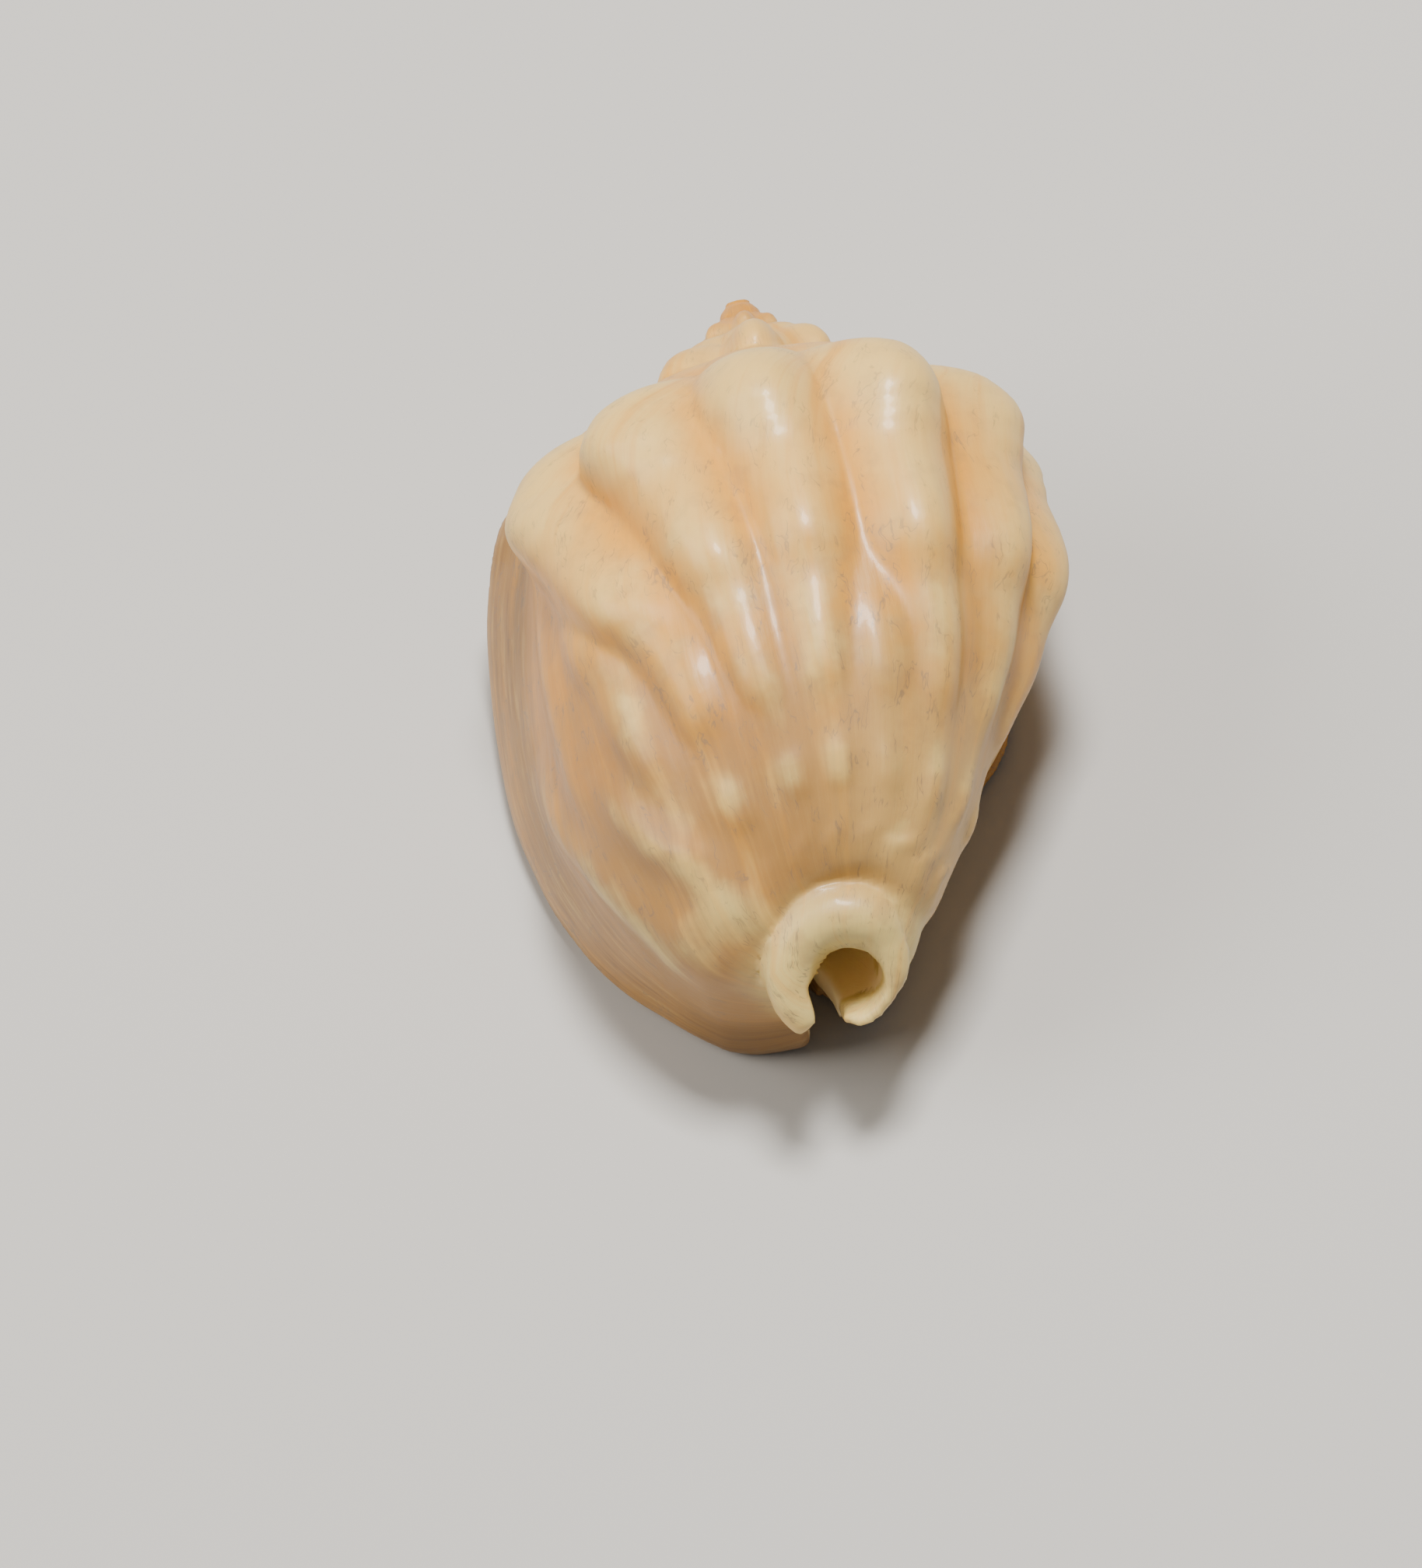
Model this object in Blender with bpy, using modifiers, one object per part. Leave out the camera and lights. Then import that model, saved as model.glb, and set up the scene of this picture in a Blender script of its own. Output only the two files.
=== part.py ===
"""Helmet shell, about 55 mm long, lying on its aperture.

The shell coils round an axis that runs along -Y from the apex and dips a little to the front.
A point of the shell is first given as (side, along, up) in millimetres: side to the right of the
axis, along the axis from the apex, and up towards the back of the shell. Angles round the axis
are in degrees, 0 on the back and positive to the right. Growth goes to the left over the back
and ends at the outer lip.
"""

import math

import bmesh
import bpy
import numpy as np

MM = 0.001
NAME = "helmet_shell"

# Where the shell stands: the apex in world millimetres, the dip of the axis to the front, and how
# much of the under side is worn flat
APEX = (1.87, 27.35, 17.9)
DIP = 8.0
FLAT = 0.3
BLOCK = 100.0

# Growth: natural log of the size against turns back from the middle of the back
GROWTH = [(-0.4, 0.1), (-0.25, 0.1), (0, 0), (0.1, 0.04), (0.25, 0.034), (0.5, -0.13), (0.75, -0.43),
          (1, -0.75)]
SPIRE_GROWTH = 0.85
WHORLS = 4

# Knobs of the spire: how many go round, and the angle of the tallest, how far round its height
# reaches, the height of the others against the last whorl's, and how much taller the tallest is
SPIRE_KNOBS = 8
SPIRE_BACK = (5.0, 50.0, 0.5, 0.8)
APEX_DOME = 1.5

# Radius of the last whorl against the distance along the axis, on the back of the shell
WHORL = [(3, 0.5), (5.4, 3.7), (6.7, 5.8), (8, 8.0), (10, 9.6), (12, 11.6), (14.5, 13.2), (18, 14.3),
         (24, 15.3), (30, 15.4), (35, 14.7), (38.5, 13.6), (41.8, 11.9), (44, 10.4), (46, 8.4), (47.6, 6.0),
         (50, 5.0)]
LENGTH = 52.0
LEFT_LIFT = 0.9

# How much narrower the front of the whorl is at the right than on the back
NARROW = [(22, 0.0), (25, 0.02), (30.6, 0.12), (36.6, 0.33), (43.9, 0.52), (50, 0.7)]
NARROW_SIDE = [(-180, 0.4), (-150, 0.3), (-95, 0.0), (0, 0.0), (22, 0.17), (45, 0.45), (72, 0.75), (100, 1.0),
               (140, 0.9), (180, 0.4)]

# Ribs: where each begins, how tall its knob is against the others, and its angle at the rows of nodes
ROWS = (13.5, 25, 35.3, 41.5, 45.3)
RIBS = [
    (16, 0.75, (-84, -58, -49, -48, -46)), (-7, 1.0, (-74, -45, -31, -31, -33)),
    (-7, 1.0, (-38, -19, -14, -12, -20)), (-7, 1.0, (0, 4, 2, 1, -7)), (22, 0.9, (20, 20, 18, 16, 6)),
    (-7, 1.16, (34, 31, 35, 33, 18)), (-7, 1.03, (71, 58, 57, 51, 31)), (-7, 1.06, (104, 82, 80, 74, 48)),
    (-7, 1.0, (140, 128, 122, 112, 80)), (-7, 1.0, (176, 168, 160, 150, 120)),
]
RIB_RISE = 16.0
RIB_HEIGHT = [(6.5, 0), (8, 1.4), (9.5, 2.4), (11.6, 4.4), (13.8, 4.2), (17, 3.1), (20.5, 2.4), (24.4, 2.5),
              (29.5, 1.3), (34.5, 1.2), (38.4, 0.45), (41.3, 0.8), (43.4, 0.35), (45.2, 0.6), (47, 0)]
RIB_WIDTH = [(8, 3.2), (10, 3.6), (14.6, 3.9), (24.4, 3.0), (35.3, 1.8), (41.5, 1.35), (45.3, 1.1)]
RIB_SQUARE = 2.2
RIB_BLEND = 0.6

# Long low ribs beside the lip, which follow its edge: angle and height against the distance along
# the axis, and half width
LIP_RIBS = [
    ([(30, -98), (35, -93), (41.9, -83), (50.5, -76)], [(28, 0), (37, 1.0), (47, 0.9), (51, 0)], 1.9),
    ([(36, -66), (41.8, -58), (44.4, -52), (47.9, -49), (49.5, -46)],
     [(35, 0), (42, 0.8), (47, 0.9), (50, 0)], 1.4),
    ([(12, -92), (20, -86), (28, -80), (36, -76), (44, -70)], [(10, 0), (20, 0.5), (32, 0.5), (44, 0)], 1.8),
]

# Outer edge of the lip: distance to the left of the axis, and depth under it
LIP_SIDE = [(8, 14.8), (9.5, 17.2), (11, 19.0), (14, 20.6), (17, 21.3), (26, 21.9), (34, 20.9),
            (39.4, 19.1), (42.7, 17.3), (46, 14.5), (49.3, 11.0), (51.5, 7.6)]
LIP_DEPTH = [(8, 2), (11, 5), (14, 9), (17, 11), (22, 12.6), (26, 12.8), (34, 12.0), (42, 11.0), (50, 10.2)]
LIP_FLARE = 16.0
LIP_ROUND = 0.05
LIP_LATE = 5.0
LIP_END = 2.6

# Front end under the canal: how far it reaches against the distance to the right of the axis, along
# a direction that leans down from the axis
FRONT = [(-16, 49.5), (-11.3, 50.2), (-8.2, 50.0), (-6.3, 50.0), (-5.2, 49.4), (-4.5, 48.3), (-3.6, 46.5),
         (-2.8, 47.3), (-1.7, 49.0), (0.2, 48.1), (2.1, 46.0), (5, 42.0), (12, 40.0)]
FRONT_LEAN = 25.0

# Aperture: distance of the slit's middle to the left of the axis, its half width, and its teeth
SLIT_LINE = [(11, 9.6), (18, 11.6), (26, 12.2), (34, 11.3), (40, 9.4), (44, 7.2), (47, 5.4), (50, 4.1),
             (54, 3.7)]
SLIT_HALF = [(11, 1.5), (16, 2.3), (34, 2.3), (44, 1.8), (50, 1.1), (54, 1.0)]
SLIT_BACK = 14.5
SLIT_GAP = 4.6
SLIT_RISE = 7.0
TOOTH_PITCH = 3.1
TOOTH = 0.8
FOLD = 0.5
WALL = 2.2
CORE = 3.4

# Parietal shield: a plate on the ground side, from the slit to its margin at the right
MARGIN = [(9, 3.0), (11, 8.0), (16, 11.8), (22, 13.4), (28.3, 12.7), (34.8, 8.7), (41.2, 4.7), (47.8, 1.3),
          (49, 0.6)]
SHIELD_BACK = 9.0
SHIELD_FRONT = 49.0
SHIELD_THICK = 2.2
SHIELD_RIM = 1.7
SHIELD_DISH = 0.7

# Canal: middle, width and height of its mouth, and the direction that the mouth faces
MOUTH = (-1.9, 52.1, 2.8)
MOUTH_HALF = (2.25, 2.6)
MOUTH_FACE = 53.0
COLLAR = [(-126, 1.3), (-90, 1.6), (-30, 1.9), (10, 2.0), (60, 1.3), (90, 0.95), (126, 0.5), (180, 0.35)]
THROAT = [((-2.0, 51.7, 2.6), 3.0), ((-2.0, 50.6, 0.9), 3.5), ((-2.1, 48.6, -1.2), 4.3),
          ((-2.0, 45.5, -3.2), 5.6), ((-1.8, 41.0, -4.0), 6.0)]
BORE = [((-1.8, 54.6, 5.9), 2.4), ((-1.8, 52.4, 3.0), 2.3), ((-1.9, 50.7, 1.4), 2.4),
        ((-2.2, 48.4, -0.2), 2.4), ((-2.9, 45.6, -2.2), 2.3), ((-4.4, 42.2, -5.2), 2.1),
        ((-6.5, 38.0, -8.5), 2.0)]

# Notch under the canal, where the aperture ends: its start beside and over the middle of the mouth,
# how it turns from there, the direction it faces, its depth, and its half width
NOTCH_START = (-2.7, 0.4)
NOTCH_TURN = 165.0
NOTCH_FACE = 65.0
NOTCH_DEPTH = 10.0
NOTCH_HALF = [(0, 0.2), (0.7, 0.25), (3.3, 0.75), (12, 2.0)]

# Steps of the skin, in degrees and millimetres, and the size of the grains that fuse the pieces
STEP_ANGLE = 2.0
STEP_ALONG = 0.7
GRAIN = 0.45
KEPT = 0.086

# Colour in linear light
COLOUR = (0.60, 0.42, 0.25, 1.0)
ROUGHNESS = 0.3


def curve_through(points, x):
    """Value at x of the smooth curve through the points, which is level past its ends and where it
    turns back."""
    xs, ys = np.array(points, float).T
    rise = np.diff(ys) / np.diff(xs)
    before, after = rise[:-1], rise[1:]
    both = np.where(before * after > 0, before + after, np.inf)
    slope = np.concatenate([rise[:1], 2 * before * after / both, rise[-1:]])
    x = np.clip(x, xs[0], xs[-1])
    i = np.clip(np.searchsorted(xs, x, side="right") - 1, 0, len(xs) - 2)
    step = xs[i + 1] - xs[i]
    t = (x - xs[i]) / step
    start = ys[i] * (1 + 2 * t) * (1 - t) ** 2 + step * slope[i] * t * (1 - t) ** 2
    end = ys[i + 1] * t * t * (3 - 2 * t) + step * slope[i + 1] * t * t * (t - 1)
    return start + end


def smooth_max(a, b, blend):
    """The larger of two lengths, with the corner between them rounded over about the blend."""
    h = np.maximum(blend - np.abs(a - b), 0) / blend
    return np.maximum(a, b) + h * h * blend / 4


def smooth_min(a, b, blend):
    """The smaller of two lengths, with the corner between them rounded over about the blend."""
    return -smooth_max(-a, -b, blend)


def ease(x, start, end):
    """0 before the start, 1 after the end, and a smooth rise between them."""
    t = np.clip((x - start) / (end - start), 0, 1)
    return t * t * (3 - 2 * t)


def growth(turns):
    """Size of the whorl, against 1 in the middle of the back."""
    first, last = GROWTH[0][0], GROWTH[-1][0]
    log = curve_through(GROWTH, np.clip(turns, first, last))
    return np.exp(log - SPIRE_GROWTH * np.maximum(turns - last, 0))


def ground(along):
    """Depth of the ground straight under the axis, in the shell's own directions."""
    dip = math.radians(DIP)
    return (APEX[2] + FLAT - along * math.sin(dip)) / math.cos(dip)


def rib_relief(angle, along):
    """Height of the knobs and ribs over the whorl. angle may run past a full turn back."""
    height = curve_through(RIB_HEIGHT, along)
    width = curve_through(RIB_WIDTH, along)
    radius = curve_through(WHORL, along)
    relief = np.zeros_like(along)
    for begin, tall, angles in RIBS:
        line = curve_through(list(zip(ROWS, angles)), along)
        off = np.radians(angle - line) * radius
        across = np.exp(-np.abs(off / width) ** RIB_SQUARE)
        own = tall * height * across * ease(along, begin, begin + RIB_RISE)
        relief = smooth_max(relief, own, RIB_BLEND)
    return relief


def lip_relief(angle, along):
    """Height of the long ribs beside the lip."""
    relief = np.zeros_like(along)
    for line, heights, width in LIP_RIBS:
        off = np.radians(angle - curve_through(line, along)) * curve_through(WHORL, along)
        relief = relief + curve_through(heights, along) * np.exp(-(off / width) ** 2)
    return relief


def whorl_radius(angle, along, turn):
    """Radius of the whorl that lies the given number of whole turns back."""
    size = growth(angle / 360 + turn)
    local = along / size
    if turn == 0:
        local = local + LEFT_LIFT * ease(-angle, 40, 80) * (1 - ease(along, 8, 16))
    radius = curve_through(WHORL, local)
    if turn == 0:
        narrow = curve_through(NARROW, along) * curve_through(NARROW_SIDE, (angle + 180) % 360 - 180)
        radius = radius * (1 - narrow)
        return size * (radius + rib_relief(angle, local))
    crest, spread, least, more = SPIRE_BACK
    beat = 0.5 + 0.5 * np.cos(np.radians(SPIRE_KNOBS * (angle - crest)))
    tall = least + more * np.exp(-((angle - crest) / spread) ** 2)
    knobs = curve_through(RIB_HEIGHT, local) * beat * tall
    return size * (radius + knobs + 0.3)


def body_radius(angle, along):
    """Radius of the whole coil: the largest of its whorls and the rounded apex."""
    dome = np.sqrt(np.maximum(APEX_DOME**2 - (APEX_DOME - np.minimum(along, APEX_DOME)) ** 2, 0))
    radius = dome
    for turn in range(WHORLS):
        radius = np.maximum(radius, whorl_radius(angle, along, turn))
    return radius


def lip_edge(along):
    """Angle round the axis and radius of the outer edge of the lip."""
    side = curve_through(LIP_SIDE, along)
    depth = curve_through(LIP_DEPTH, along)
    return -np.degrees(np.arctan2(side, -depth)), np.hypot(side, depth)


def slit_sides(along):
    """Distances to the left of the axis of the lip's inner edge and of the columella's edge."""
    middle, half = curve_through(SLIT_LINE, along), curve_through(SLIT_HALF, along)
    return middle + half, middle - half


def shield_fill(angle, along):
    """Radius of the callus that fills the ground side between the columella and the right margin."""
    sine, down = np.sin(np.radians(angle)), -np.cos(np.radians(angle))
    left = slit_sides(along)[1] + SLIT_GAP * (1 - ease(along, SLIT_BACK - 1, SLIT_BACK + 2))
    reach = np.where(sine > 0, curve_through(MARGIN, along) - SHIELD_RIM, left)
    wall = reach / np.maximum(np.abs(sine), 0.05)
    bed = (ground(along) - SHIELD_DISH) / np.maximum(down, 0.1)
    return np.minimum(wall, bed) * (down > 0.1) * ease(along, SHIELD_BACK - 2, SHIELD_BACK + 3)


def skin_radius(angle, along):
    """Radius of the outside of the shell and its lip, before the margin, the canal and the hollow."""
    inner_edge = -180 + np.degrees(np.arctan2(slit_sides(along)[0] - 0.5, ground(along)))
    behind = angle < inner_edge
    radius = body_radius(np.where(behind, angle + 360, angle), along)
    edge_angle, edge = lip_edge(along)
    off = angle - edge_angle
    flare = np.where(off > 0, np.exp(-np.abs(off / LIP_FLARE) ** 1.3), 1.0)
    late = along - LIP_LATE * ease(-off, -10, 35)
    flare = flare * ease(late, 6, 10)
    lip = np.maximum(radius, radius + (edge - radius) * flare) + lip_relief(angle, along)
    filled = smooth_max(radius, shield_fill(angle, along), 1.5)
    radius = np.where(behind | (angle > 95), filled, lip)
    down = np.maximum(-np.cos(np.radians(angle)), 0.1)
    side = ground(along) * np.sqrt(1 / down**2 - 1)
    off_contact = np.clip(side - curve_through(LIP_SIDE, along) + 4.0, -5, 5)
    arch = np.where(behind | (angle > 0), 0, LIP_ROUND * off_contact**2)
    floor = (ground(along) - arch) / down
    end = np.clip((along - (LENGTH - LIP_END)) / LIP_END, 0, 1)
    radius = smooth_min(radius, floor, 0.8) * np.sqrt(1 - end**2)
    lean = math.radians(FRONT_LEAN)
    front = curve_through(FRONT, radius * np.sin(np.radians(angle))) - along * math.cos(lean)
    reach = np.maximum(front, 0.1) / (math.sin(lean) * down)
    return np.where(down > 0.1, smooth_min(radius, reach, 0.8), radius)


def to_world(side, along, up):
    """World coordinates in metres of points given in the shell's own directions."""
    dip = math.radians(DIP)
    x = APEX[0] + side
    y = APEX[1] - along * math.cos(dip) - up * math.sin(dip)
    z = APEX[2] - along * math.sin(dip) + up * math.cos(dip)
    return np.stack(np.broadcast_arrays(x, y, z), axis=-1) * MM


def round_axis(angle, along, radius):
    """World coordinates of points given by angle and radius round the axis."""
    turn = np.radians(angle)
    return to_world(radius * np.sin(turn), along, radius * np.cos(turn))


def loft(rings):
    """Points and faces of a closed form through rings of points, with a fan at each end."""
    count = rings.shape[1]
    points = [rings[0].mean(axis=0), *rings.reshape(-1, 3), rings[-1].mean(axis=0)]
    faces = []
    for j in range(count):
        k = (j + 1) % count
        faces.append((0, 1 + j, 1 + k))
        for i in range(len(rings) - 1):
            a, b = 1 + i * count, 1 + (i + 1) * count
            faces.append((a + j, b + j, b + k, a + k))
        end = 1 + (len(rings) - 1) * count
        faces.append((end + j, len(points) - 1, end + k))
    return points, faces


def join(name, forms):
    """One object that holds several closed forms, each with its faces pointing out."""
    bm = bmesh.new()
    for points, faces in forms:
        verts = [bm.verts.new(p) for p in points]
        made = [bm.faces.new([verts[i] for i in face]) for face in faces]
        bmesh.ops.recalc_face_normals(bm, faces=made)
    mesh = bpy.data.meshes.new(name)
    bm.to_mesh(mesh)
    bm.free()
    return bpy.data.objects.new(name, mesh)


def skin():
    """The outside of the shell as rings round the axis."""
    angles = np.arange(-180, 180, STEP_ANGLE)
    start = APEX_DOME * (1 - np.cos(np.radians([10, 30, 50, 70])))
    alongs = np.concatenate([start, np.arange(APEX_DOME, LENGTH - LIP_END, STEP_ALONG),
                             LENGTH - LIP_END * (1 - np.sin(np.radians([10, 30, 50, 70, 85])))])
    angle, along = np.meshgrid(angles, alongs)
    return loft(round_axis(angle, along, skin_radius(angle, along)))


def shield():
    """The parietal shield as cross-sections along the axis, dished a little on the ground side."""
    rings = []
    around = np.radians(np.arange(0, 360, 10))
    middle = (SHIELD_BACK + SHIELD_FRONT) / 2
    half = (SHIELD_FRONT - SHIELD_BACK) / 2
    for t in np.radians(np.linspace(12, 168, 56)):
        along = middle - half * math.cos(t)
        left = 0.6 - slit_sides(along)[1]
        right = curve_through(MARGIN, along)
        across = np.sign(np.cos(around)) * np.abs(np.cos(around)) ** 0.8
        side = (left + right) / 2 + (right - left) / 2 * across
        rise = SHIELD_THICK / 2 * np.sign(np.sin(around)) * np.abs(np.sin(around)) ** 0.8
        rise = rise * min(1.0, 2.5 * math.sin(t))
        dish = SHIELD_DISH * np.exp(-((side - 2) / 6) ** 2) * (rise < 0)
        rings.append(to_world(side, along, -ground(along) + SHIELD_THICK / 2 + rise + dish))
    return loft(np.array(rings))


def mouth_frame(face):
    """Direction that the canal faces for an angle over the axis, and the direction down its opening."""
    cosine, sine = math.cos(math.radians(face)), math.sin(math.radians(face))
    return np.array([0, cosine, sine]), np.array([0, sine, -cosine])


def collar():
    """The thick rim of the canal, open at the lower left, as a bent tube that changes in thickness."""
    facing, down = mouth_frame(MOUTH_FACE)
    side = np.array([1.0, 0, 0])
    rings = []
    around = np.radians(np.arange(0, 360, 20))
    for turn in np.arange(-126, 187, 6.5):
        thick = curve_through(COLLAR, turn)
        sine, cosine = math.sin(math.radians(turn)), math.cos(math.radians(turn))
        out = side * sine - down * cosine
        hole = side * MOUTH_HALF[0] * sine - down * MOUTH_HALF[1] * cosine
        centre = MOUTH + hole + out * thick
        ring = centre + thick * (np.outer(np.cos(around), out) + np.outer(np.sin(around), facing))
        rings.append(to_world(*ring.T))
    return loft(np.array(rings))


def tube(path, sides=24):
    """A closed round tube along a path of points and radii in the shell's own directions."""
    centres = np.array([point for point, radius in path])
    radii = [radius for point, radius in path]
    around = np.radians(np.arange(0, 360, 360 / sides))
    rings = []
    for centre, step, radius in zip(centres, np.gradient(centres, axis=0), radii):
        across = np.cross(step, (1.0, 0, 0))
        across = across / np.linalg.norm(across)
        other = np.cross(step, across)
        other = other / np.linalg.norm(other)
        ring = centre + radius * (np.outer(np.cos(around), across) + np.outer(np.sin(around), other))
        rings.append(to_world(*ring.T))
    return loft(np.array(rings))


def notch():
    """The notch under the canal, as a slab from beside the middle of the mouth outwards."""
    facing, down = mouth_frame(NOTCH_FACE)
    turn = math.radians(NOTCH_TURN)
    side = np.array([1.0, 0, 0])
    start = MOUTH + NOTCH_START[0] * side - NOTCH_START[1] * down
    out = math.sin(turn) * side - math.cos(turn) * down
    across = np.cross(out, facing)
    rings = []
    for reach in np.linspace(NOTCH_HALF[0][0], NOTCH_HALF[-1][0], 12):
        wide = curve_through(NOTCH_HALF, reach)
        ring = [start + out * reach + across * a * wide + facing * b
                for a, b in ((-1, 3.0), (1, 3.0), (1, -NOTCH_DEPTH), (-1, -NOTCH_DEPTH))]
        rings.append(to_world(*np.array(ring).T))
    return loft(np.array(rings))


def slit():
    """The toothed opening between the lip and the columella, from the ground into the hollow."""
    rings = []
    for along in np.arange(SLIT_BACK, LENGTH + 3.0, TOOTH_PITCH / 8):
        lip, columella = slit_sides(along)
        wave = 0.5 + 0.5 * math.cos(math.tau * along / TOOTH_PITCH)
        teeth = wave * float(ease(along, SLIT_BACK, SLIT_BACK + 4) * (1 - ease(along, 43, 46)))
        left, right = -lip + TOOTH * teeth, -columella - FOLD * teeth
        low, high = -ground(along) - 1, -ground(along) + 4 + SLIT_RISE * float(ease(along, 43, 50))
        ring = [(left, low), (right, low), (right, high), (left, high)]
        rings.append([to_world(x, along, z) for x, z in ring])
    return loft(np.array(rings))


def hollow():
    """The hollow of the last whorl, from the aperture back over the left side and past the back."""
    rings = []
    around = np.radians(np.arange(0, 360, 15))
    for angle in np.linspace(-146, 40, 48):
        lead = float(ease(angle, 40, -20))
        outer = growth(angle / 360) * 0.97
        inner = growth(angle / 360 + 1)
        middle, half = 27.5, 14.5 * (0.25 + 0.75 * math.sqrt(lead))
        along = middle + half * np.cos(around)
        far = outer * curve_through(WHORL, along / outer) - WALL
        near = np.maximum(inner * curve_through(WHORL, along / inner) + 1.6, CORE)
        far = np.maximum(far, near + 0.8)
        swell = 0.5 + 0.5 * np.sin(around)
        rings.append(round_axis(angle, along, near + (far - near) * swell))
    return loft(np.array(rings))


def fused(thing, grain, rounds):
    """Gives an object the modifiers that fuse its overlapping forms into one rounded skin."""
    fuse = thing.modifiers.new("fuse", "REMESH")
    fuse.mode = "VOXEL"
    fuse.voxel_size = grain * MM
    if rounds:
        soften = thing.modifiers.new("soften", "SMOOTH")
        soften.factor = 0.5
        soften.iterations = rounds


def ground_block():
    """A block under the ground, which cuts the flat spots that the shell rests on."""
    bm = bmesh.new()
    bmesh.ops.create_cube(bm, size=BLOCK * MM)
    bmesh.ops.translate(bm, verts=bm.verts, vec=(0, 0, -BLOCK / 2 * MM))
    mesh = bpy.data.meshes.new("ground_block")
    bm.to_mesh(mesh)
    bm.free()
    return bpy.data.objects.new("ground_block", mesh)


def shell_material():
    """Cream and tan porcelain-like shell."""
    material = bpy.data.materials.new("shell")
    material.use_nodes = True
    surface = material.node_tree.nodes["Principled BSDF"]
    surface.inputs["Base Color"].default_value = COLOUR
    surface.inputs["Roughness"].default_value = ROUGHNESS
    surface.inputs["Metallic"].default_value = 0.0
    return material


def main():
    for thing in list(bpy.data.objects):
        bpy.data.objects.remove(thing)
    collection = bpy.data.collections.new(NAME)
    cutters = bpy.data.collections.new("cutters")
    for group in (collection, cutters):
        bpy.context.scene.collection.children.link(group)
    voids = join("voids", [hollow(), slit(), tube(BORE), notch()])
    cutters.objects.link(voids)
    fused(voids, GRAIN, 5)
    block = ground_block()
    cutters.objects.link(block)
    for cutter in (voids, block):
        cutter.hide_render = True
        cutter.display_type = "WIRE"
    shell = join("shell", [skin(), shield(), collar(), tube(THROAT)])
    collection.objects.link(shell)
    shell.data.materials.append(shell_material())
    fused(shell, GRAIN, 2)
    shell.modifiers.new("hollow", "BOOLEAN").object = voids
    fused(shell, GRAIN, 4)
    thin = shell.modifiers.new("thin", "DECIMATE")
    thin.ratio = KEPT
    shell.modifiers.new("rest", "BOOLEAN").object = block


if __name__ == "__main__":
    main()
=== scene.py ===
"""Looks of the helmet shell: the fine shell with its glossy cream and tan surface, and the studio.

The shell coils round an axis that runs along -Y from the apex and dips a little to the front. In
the node trees a point is given as (side, along, up) in millimetres: side to the right of the
axis, along the axis from the apex, and up towards the back of the shell. Angles round the axis
are in degrees, 0 on the back and positive to the right. The shell grew towards the left over the
back, and the outer lip is its newest edge.
"""

import math

import bpy
from mathutils import Matrix, Vector


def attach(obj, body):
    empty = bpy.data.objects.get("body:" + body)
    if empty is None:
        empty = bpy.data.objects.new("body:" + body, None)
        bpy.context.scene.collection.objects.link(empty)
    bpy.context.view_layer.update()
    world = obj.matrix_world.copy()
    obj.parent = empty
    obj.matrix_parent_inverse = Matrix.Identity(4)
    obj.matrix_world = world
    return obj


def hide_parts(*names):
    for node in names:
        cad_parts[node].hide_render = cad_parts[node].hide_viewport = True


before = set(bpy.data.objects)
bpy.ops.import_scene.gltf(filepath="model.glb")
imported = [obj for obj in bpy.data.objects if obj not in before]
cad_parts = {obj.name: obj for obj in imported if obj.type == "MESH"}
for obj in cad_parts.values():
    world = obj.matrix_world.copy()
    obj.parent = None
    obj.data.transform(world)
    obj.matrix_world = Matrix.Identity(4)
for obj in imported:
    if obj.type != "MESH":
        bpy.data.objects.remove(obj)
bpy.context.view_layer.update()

bl_info = {
    "name": "Helmet shell",
    "version": (1, 0, 0),
    "blender": (4, 5, 0),
    "location": "3D View > Sidebar > Helmet shell",
    "description": "Builds a fine helmet shell and a plain studio round it",
    "category": "Object",
}

MM = 0.001

# Where the shell stands: the apex in millimetres and the dip of the axis to the front
APEX = (1.87, 27.35, 17.9)
DIP = math.radians(8.0)
FLAT = 0.3

# Growth: natural log of the size against turns back from the middle of the back
GROWTH = [(-0.4, 0.1), (-0.25, 0.1), (0, 0), (0.1, 0.04), (0.25, 0.034), (0.5, -0.13), (0.75, -0.43),
          (1, -0.75)]
SPIRE_GROWTH = 0.85
WHORLS = 4

# Knobs of the spire: how many go round, and the angle of the tallest, how far round its height
# reaches, the height of the others against the last whorl's, and how much taller the tallest is
SPIRE_KNOBS = 8
SPIRE_BACK = (5.0, 50.0, 0.5, 0.8)
APEX_DOME = 1.5

# Radius of the last whorl against the distance along the axis, on the back of the shell
WHORL = [(3, 0.5), (5.4, 3.7), (6.7, 5.8), (8, 8.0), (10, 9.6), (12, 11.6), (14.5, 13.2), (18, 14.3),
         (24, 15.3), (30, 15.4), (35, 14.7), (38.5, 13.6), (41.8, 11.9), (44, 10.4), (46, 8.4), (47.6, 6.0),
         (50, 5.0)]
LENGTH = 52.0
LEFT_LIFT = 0.9

# How much narrower the front of the whorl is at the right than on the back
NARROW = [(22, 0.0), (25, 0.02), (30.6, 0.12), (36.6, 0.33), (43.9, 0.52), (50, 0.7)]
NARROW_SIDE = [(-180, 0.4), (-150, 0.3), (-95, 0.0), (0, 0.0), (22, 0.17), (45, 0.45), (72, 0.75), (100, 1.0),
               (140, 0.9), (180, 0.4)]

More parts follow.
